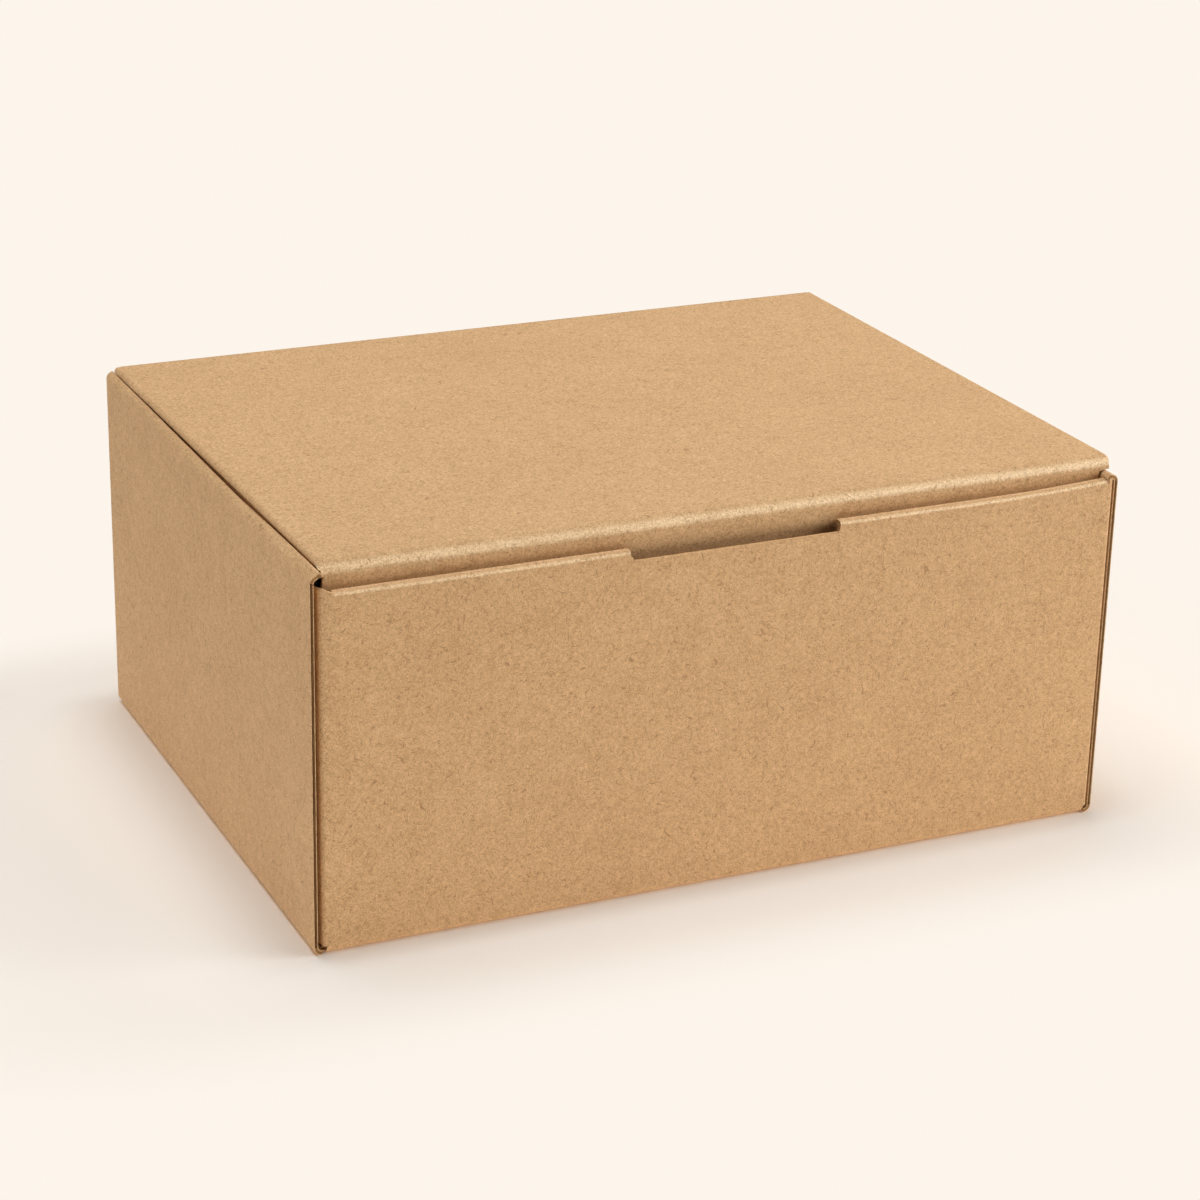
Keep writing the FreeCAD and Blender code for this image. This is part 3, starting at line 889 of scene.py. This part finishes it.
class BOX_OT_add_tray(bpy.types.Operator):
    """Folds the tray from one sheet: base, walls, rolled tops, inner layers and corner flaps"""
    bl_idname = "box.add_tray"
    bl_label = "Add tray"

    def execute(self, context):
        sizes = context.scene.box_sizes
        place = Layout(sizes)
        sheet = add_panel("tray_board", -place.base_x, place.base_x, -place.base_y, place.base_y, place.mid)
        slot_low = place.side_inner - SLOT_CLEARANCE
        slot_high = place.side_inner + place.t + SLOT_CLEARANCE
        for side in SIDES:
            cuts = [place.corner_x[side], place.roll_x[side], FRONT_TAB + TAB_HALF, FRONT_TAB - TAB_HALF,
                    NOTCH_HALF[side], slot_low, slot_high]
            reach = place.corner_x[side] - place.roll_x[side]
            cuts += [place.roll_x[side] + reach * part for part in CORNER_CUTS]
            score(0, [side * cut for cut in cuts])
        score(0, [place.corner_x[1.0] - FRONT_END_LENGTH * part for part in FRONT_END_CUTS])
        cuts = [place.inner_y[-1.0], place.inner_y[1.0], SIDE_TAB + TAB_HALF, SIDE_TAB - TAB_HALF]
        score(1, [side * cut for cut in cuts for side in SIDES])
        score(1, [-place.front_inner + SLOT_CLEARANCE])
        score(1, [-place.half_y * part for part in CROWN_CUTS])
        for side in SIDES:
            build_side_wall(sheet, place, side)
        build_side_ends(sheet, place)
        for side in SIDES:
            build_side_inner(sheet, place, side)
        build_front_wall(sheet, place)
        build_back_wall(sheet, place)
        build_corner_flaps(sheet, place)
        shape_front_corners(sheet, place)
        raise_front_end(sheet, place)
        crown_left_wall(sheet, place)
        cut_slots(sheet, place)
        close_sheet()
        top = place.front_roll_z
        crushed = make_pressed_paper(
            "tray_crushed_folds", sheet, sizes,
            lambda straight, c: not (in_front_corner(place, c) and c.z > top)
            and (not straight or top < c.z < place.front_top or c.z > place.side_crease_z[side_of(c)]))
        pressed = make_pressed_paper(
            "tray_pressed_edge", sheet, sizes,
            lambda straight, c: in_front_corner(place, c) and c.z > top
            or place.notch_z - PRESSED_EDGE < c.z < place.notch_z and c.y < -place.half_y + place.t)
        make_liners(sheet, sizes)
        finish(sheet, "tray", LINER, ["tray"])
        finish(crushed, "tray", MEDIUM)
        finish(pressed, "tray", LINER)
        fluting = make_fluting("tray_fluting", tray_fluting_panels(place), sizes)
        finish(fluting, "tray", MEDIUM)
        return {"FINISHED"}


class BOX_OT_add_lid(bpy.types.Operator):
    """Folds the lid: its top, the tuck flap at the front and the two dust flaps"""
    bl_idname = "box.add_lid"
    bl_label = "Add lid"

    def execute(self, context):
        sizes = context.scene.box_sizes
        place = Layout(sizes)
        lid = add_panel("lid_board", -place.lid_flat[-1.0], place.lid_flat[1.0], place.lid_front_line,
                        place.lid_back, place.lid_z)
        dust_end = place.hinge_y - DUST_BACK_GAP
        score(1, [dust_end])
        for side in SIDES:
            self.add_dust_flap(lid, place, side, dust_end)
        lean = self.add_tuck_flap(lid, place)
        close_sheet()
        crushed = make_pressed_paper("lid_crushed_folds", lid, sizes, lambda straight, c: not straight)
        finish(crushed, "lid", MEDIUM)
        make_liners(lid, sizes)
        finish(lid, "lid", LINER, ["lid"])
        fluting = make_fluting("lid_fluting", self.fluting_panels(place, lean, dust_end), sizes)
        finish(fluting, "lid", MEDIUM)
        return {"FINISHED"}

    def add_dust_flap(self, lid, place, side, dust_end):
        """One side's fold and the flap that goes down inside the side wall."""
        x = side * place.lid_flat[side]
        fold_z = place.lid_z + place.mid - LID_SIDE_BEND
        pick_edges(lid, lambda v: near(v.x, x) and near(v.z, place.lid_z))
        fold((x, 0.0, fold_z), (0.0, side, 0.0), -QUARTER)
        face = side * (place.lid_half - place.mid)
        outer = side * (place.lid_edge[side] - place.mid)
        pick_edges(lid, lambda v: near(v.x, outer) and near(v.z, fold_z) and v.y < dust_end + SMALL)
        run(x=face - outer, z=-LID_OVERHANG[side])
        run(z=LID_SIDE_BEND + LID_OVERHANG[side] - DUST_DEPTH)
        low = fold_z + LID_SIDE_BEND - DUST_DEPTH
        start = place.lid_front_line
        for end, slope in ((start, DUST_FRONT_SLOPE), (dust_end, -DUST_BACK_SLOPE)):
            move_corner(lid, (face, end, low), (0.0, slope, 0.0))

    def add_tuck_flap(self, lid, place):
        """The front fold and the flap that goes down behind the front wall; it leans in a little."""
        centre_z = place.lid_z + place.mid - LID_FRONT_BEND
        reach = place.hinge_y + place.lid_front
        drop = TUCK_DEPTH - LID_FRONT_BEND
        setback = TUCK_DEPTH ** 2 / (2.0 * reach) + SWING_CLEARANCE
        lean = math.atan2(setback, drop)
        pick_edges(lid, lambda v: near(v.y, place.lid_front_line) and near(v.z, place.lid_z))
        fold((0.0, place.lid_front_line, centre_z), (1.0, 0.0, 0.0), -(QUARTER + math.degrees(lean)),
             LID_FRONT_STEPS)
        run(y=drop * math.sin(lean), z=-drop * math.cos(lean))
        for side in SIDES:
            self.blend_corner(lid, place, side, centre_z, math.radians(QUARTER) + lean)
        self.round_tuck_corners(lid, place, centre_z, drop, lean)
        self.skew_edges(lid, place)
        return lean

    def skew_edges(self, lid, place):
        """Slants the lid's side edges: it lies a little askew on the walls."""
        start, end = place.lid_front_line, place.lid_back

        def rule(v):
            side = side_of(v)
            if side * v.x < place.lid_flat[side] - SMALL:
                return None
            part = min(1.0, max(0.0, (v.y - start) / (end - start)))
            return side * (LID_SKEW_FRONT[side] * (1.0 - part) + LID_SKEW_BACK[side] * part), 0.0, 0.0

        shape(lid, rule)

    def blend_corner(self, lid, place, side, centre_z, turn):
        """Rounds the ends of the front fold down into the side fold, and narrows the flap below them."""
        radius, middle = LID_SIDE_BEND - place.mid, LID_FRONT_BEND - place.mid
        edge = side * place.lid_flat[side]
        angles = [turn * row / LID_FRONT_STEPS for row in range(LID_FRONT_STEPS + 1)]
        rows = [(place.lid_front_line - middle * math.sin(angle), centre_z + middle * math.cos(angle))
                for angle in angles]
        outs = [radius * math.sin(math.radians(QUARTER * step / FOLD_STEPS))
                for step in range(FOLD_STEPS + 1)]
        for low, high in zip(outs, outs[1:]):
            pick_edges(lid, lambda v: near(v.x, edge + side * low) and any(
                near(v.y, y) and near(v.z, z) for y, z in rows[:-1]))
            run(x=side * (high - low))

        def rule(v):
            out = side * (v.x - edge)
            for (y, z), share in zip(rows, CORNER_SHARES):
                if out > SMALL and near(v.y, y) and near(v.z, z):
                    fall = radius - math.sqrt(max(0.0, radius ** 2 - out ** 2))
                    return side * (1.0 - share) * CORNER_SPREAD[side] * out / radius, 0.0, -fall * share
            # Below the fold's last rows the flap is narrower, to go in between the walls.
            if near(v.x, edge) and v.z < rows[-2][1] - SMALL and v.y < place.lid_front_line + SMALL:
                relief = FOLD_RELIEF if near(v.z, rows[-1][1]) else CORNER_RELIEF
                return side * (place.lid_half - relief) - edge, 0.0, 0.0
            return None

        shape(lid, rule)

    def round_tuck_corners(self, lid, place, centre_z, drop, lean):
        """Rounds the tuck flap's two lower corners: the cut edge is lifted along a circle."""
        middle = LID_FRONT_BEND - place.mid
        half = place.lid_half - CORNER_RELIEF
        down = Vector((0.0, math.sin(lean), -math.cos(lean)))
        across = Vector((0.0, math.cos(lean), math.sin(lean)))
        tip = Vector((0.0, place.lid_front_line - middle * math.cos(lean),
                      centre_z - middle * math.sin(lean)))
        tip += down * drop
        for side in SIDES:
            for turn in TUCK_CUTS:
                pick_faces(lid, lambda c: c.z < centre_z - drop * TUCK_CUT_TOP
                           and near((c - tip).dot(across), 0.0))
                x = half - TUCK_CORNER * (1.0 - math.sin(math.radians(turn)))
                bpy.ops.mesh.bisect(plane_co=(side * x, 0.0, 0.0), plane_no=(1.0, 0.0, 0.0))

        def rule(v):
            inward = abs(v.x) - half + TUCK_CORNER
            if inward > SMALL and near(v.y, tip.y) and near(v.z, tip.z):
                lift = TUCK_CORNER - math.sqrt(max(0.0, TUCK_CORNER ** 2 - inward ** 2))
                return tuple(-down * lift)
            return None

        shape(lid, rule)

    def fluting_panels(self, place, lean, dust_end):
        """Where the lid's board is flat, and the way its flutes run: a corner and two sides for each."""
        cut = LID_FLUTE_END
        start, end = place.lid_front_line, place.lid_back
        left, right = (side * (place.lid_flat[side] + min(LID_SKEW_FRONT[side], LID_SKEW_BACK[side]))
                       for side in SIDES)
        centre_z = place.lid_z + place.mid - LID_FRONT_BEND
        middle = LID_FRONT_BEND - place.mid
        drop = TUCK_DEPTH - LID_FRONT_BEND - cut
        half = place.lid_half - CORNER_RELIEF - cut
        panels = [
            ((left, start, place.lid_z), (0, end - start, 0), (right - left, 0, 0)),
            ((-half, start - middle * math.cos(lean), centre_z - middle * math.sin(lean)),
             (0, drop * math.sin(lean), -drop * math.cos(lean)), (2 * half, 0, 0)),
        ]
        for side in SIDES:
            face = side * (place.lid_half - place.mid)
            fold_z = place.lid_z + place.mid - LID_SIDE_BEND - LID_OVERHANG[side]
            depth = DUST_DEPTH - LID_SIDE_BEND - LID_OVERHANG[side] - cut
            panels.append(((face, start + DUST_FRONT_SLOPE, fold_z - depth),
                           (0, dust_end - DUST_BACK_SLOPE - start - DUST_FRONT_SLOPE, 0), (0, 0, depth)))
        return panels


class BOX_OT_add_lid_fold(bpy.types.Operator):
    """The bent strip of board that joins the back wall to the lid"""
    bl_idname = "box.add_lid_fold"
    bl_label = "Add lid fold"

    def execute(self, context):
        sizes = context.scene.box_sizes
        place = Layout(sizes)
        start = place.hinge_z - HINGE_STRIP
        half = place.lid_flat[-1.0]
        strip = add_panel("lid_fold", -half, half, place.lid_back - STRIP_END, place.lid_back, place.lid_z)
        pick_edges(strip, lambda v: near(v.y, place.lid_back))
        fold((0.0, place.lid_back, start), (1.0, 0.0, 0.0), QUARTER, HINGE_STEPS)
        run(z=-STRIP_END)
        close_sheet()
        apply_solidify(strip, sizes.board, 0.0, True)
        smooth()
        finish(strip, None, LINER)
        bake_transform(strip)
        return {"FINISHED"}


class BOX_OT_add_stage(bpy.types.Operator):
    """The pale floor with its curved backdrop, the soft lamps and the camera"""
    bl_idname = "box.add_stage"
    bl_label = "Add stage"

    def execute(self, context):
        scene = context.scene
        stage = scene.box_stage
        self.add_backdrop()
        self.add_lamps(stage)
        self.add_camera(scene, stage)
        scene.view_settings.view_transform = "Standard"
        return {"FINISHED"}

    def add_backdrop(self):
        """A floor that curves up into a wall far behind the box."""
        floor = add_panel("backdrop", -FLOOR_HALF_WIDTH, FLOOR_HALF_WIDTH, FLOOR_FRONT, FLOOR_BACK, FLOOR_Z)
        pick_edges(floor, lambda v: near(v.y, FLOOR_BACK))
        fold((0.0, FLOOR_BACK, BACKDROP_BEND), (1.0, 0.0, 0.0), -QUARTER, BACKDROP_STEPS)
        run(z=BACKDROP_RISE)
        close_sheet()
        smooth()
        floor.data.materials.append(material_for(BACKDROP))

    def add_lamps(self, stage):
        """A soft lamp overhead, weaker ones at the right, the front right and the left, and a faint sky."""
        lamps = (
            ("overhead", stage.overhead_power, (-0.2, 0.15, 1.9), 1.3),
            ("right", stage.right_power, (1.75, -0.75, 0.75), 1.0),
            ("front_right", stage.front_power, (1.2, -1.4, 1.0), 1.0),
            ("left", stage.left_power, (-1.5, -0.3, 0.9), 1.0),
        )
        for name, power, spot, size in lamps:
            bpy.ops.object.select_all(action="DESELECT")
            bpy.ops.object.light_add(type="AREA", location=spot)
            lamp = bpy.context.object
            lamp.name = name
            lamp.data.energy = power
            lamp.data.shape = "DISK"
            lamp.data.size = size
            lamp.data.color = LAMP_COLOUR
            aim = Vector(LAMP_AIM) - Vector(spot)
            lamp.rotation_euler = aim.to_track_quat("-Z", "Y").to_euler()
        world = bpy.data.worlds.new("even_sky")
        bpy.context.scene.world = world
        world.use_nodes = True
        sky = world.node_tree.nodes["Background"]
        sky.inputs["Color"].default_value = SKY_COLOUR
        sky.inputs["Strength"].default_value = stage.sky

    def add_camera(self, scene, stage):
        """The camera, at the photograph's angle and distance."""
        bpy.ops.object.select_all(action="DESELECT")
        bpy.ops.object.camera_add(location=CAMERA_PLACE)
        camera = bpy.context.object
        camera.name = "camera"
        turn = Euler((math.radians(QUARTER) - stage.camera_elevation, 0.0, stage.camera_azimuth)).to_matrix()
        roll = Matrix.Rotation(stage.camera_roll, 3, "Z")
        camera.rotation_euler = (turn @ roll).to_euler()
        camera.data.sensor_width = SENSOR
        camera.data.lens = FOCAL_PIXELS / PHOTO_PIXELS * SENSOR
        camera.data.clip_end = 50.0
        scene.camera = camera


class BOX_PT_panel(bpy.types.Panel):
    """Lists the box's pieces and settings"""
    bl_idname = "BOX_PT_panel"
    bl_label = "Mailing box"
    bl_space_type = "VIEW_3D"
    bl_region_type = "UI"
    bl_category = "Box"

    def draw(self, context):
        scene = context.scene
        for group in (scene.box_sizes, scene.box_colours, scene.box_stage):
            column = self.layout.column(align=True)
            for key in group.bl_rna.properties.keys():
                if key not in ("rna_type", "name"):
                    column.prop(group, key)
        for step in STEPS:
            self.layout.operator(step)


STEPS = ("box.add_tray", "box.add_lid", "box.add_lid_fold", "box.add_stage")
CLASSES = (BoxSizes, BoxColours, StageSettings, BOX_OT_add_tray, BOX_OT_add_lid, BOX_OT_add_lid_fold,
           BOX_OT_add_stage, BOX_PT_panel)


def register():
    """Registers the classes and hangs the settings on the scene."""
    for cls in CLASSES:
        bpy.utils.register_class(cls)
    bpy.types.Scene.box_sizes = bpy.props.PointerProperty(type=BoxSizes)
    bpy.types.Scene.box_colours = bpy.props.PointerProperty(type=BoxColours)
    bpy.types.Scene.box_stage = bpy.props.PointerProperty(type=StageSettings)


def unregister():
    """Takes the settings and the classes away again."""
    del bpy.types.Scene.box_sizes
    del bpy.types.Scene.box_colours
    del bpy.types.Scene.box_stage
    for cls in reversed(CLASSES):
        bpy.utils.unregister_class(cls)


def main():
    """Builds the box and its stage."""
    register()
    for step in STEPS:
        group, name = step.split(".")
        getattr(getattr(bpy.ops, group), name)()


if __name__ == "__main__":
    main()
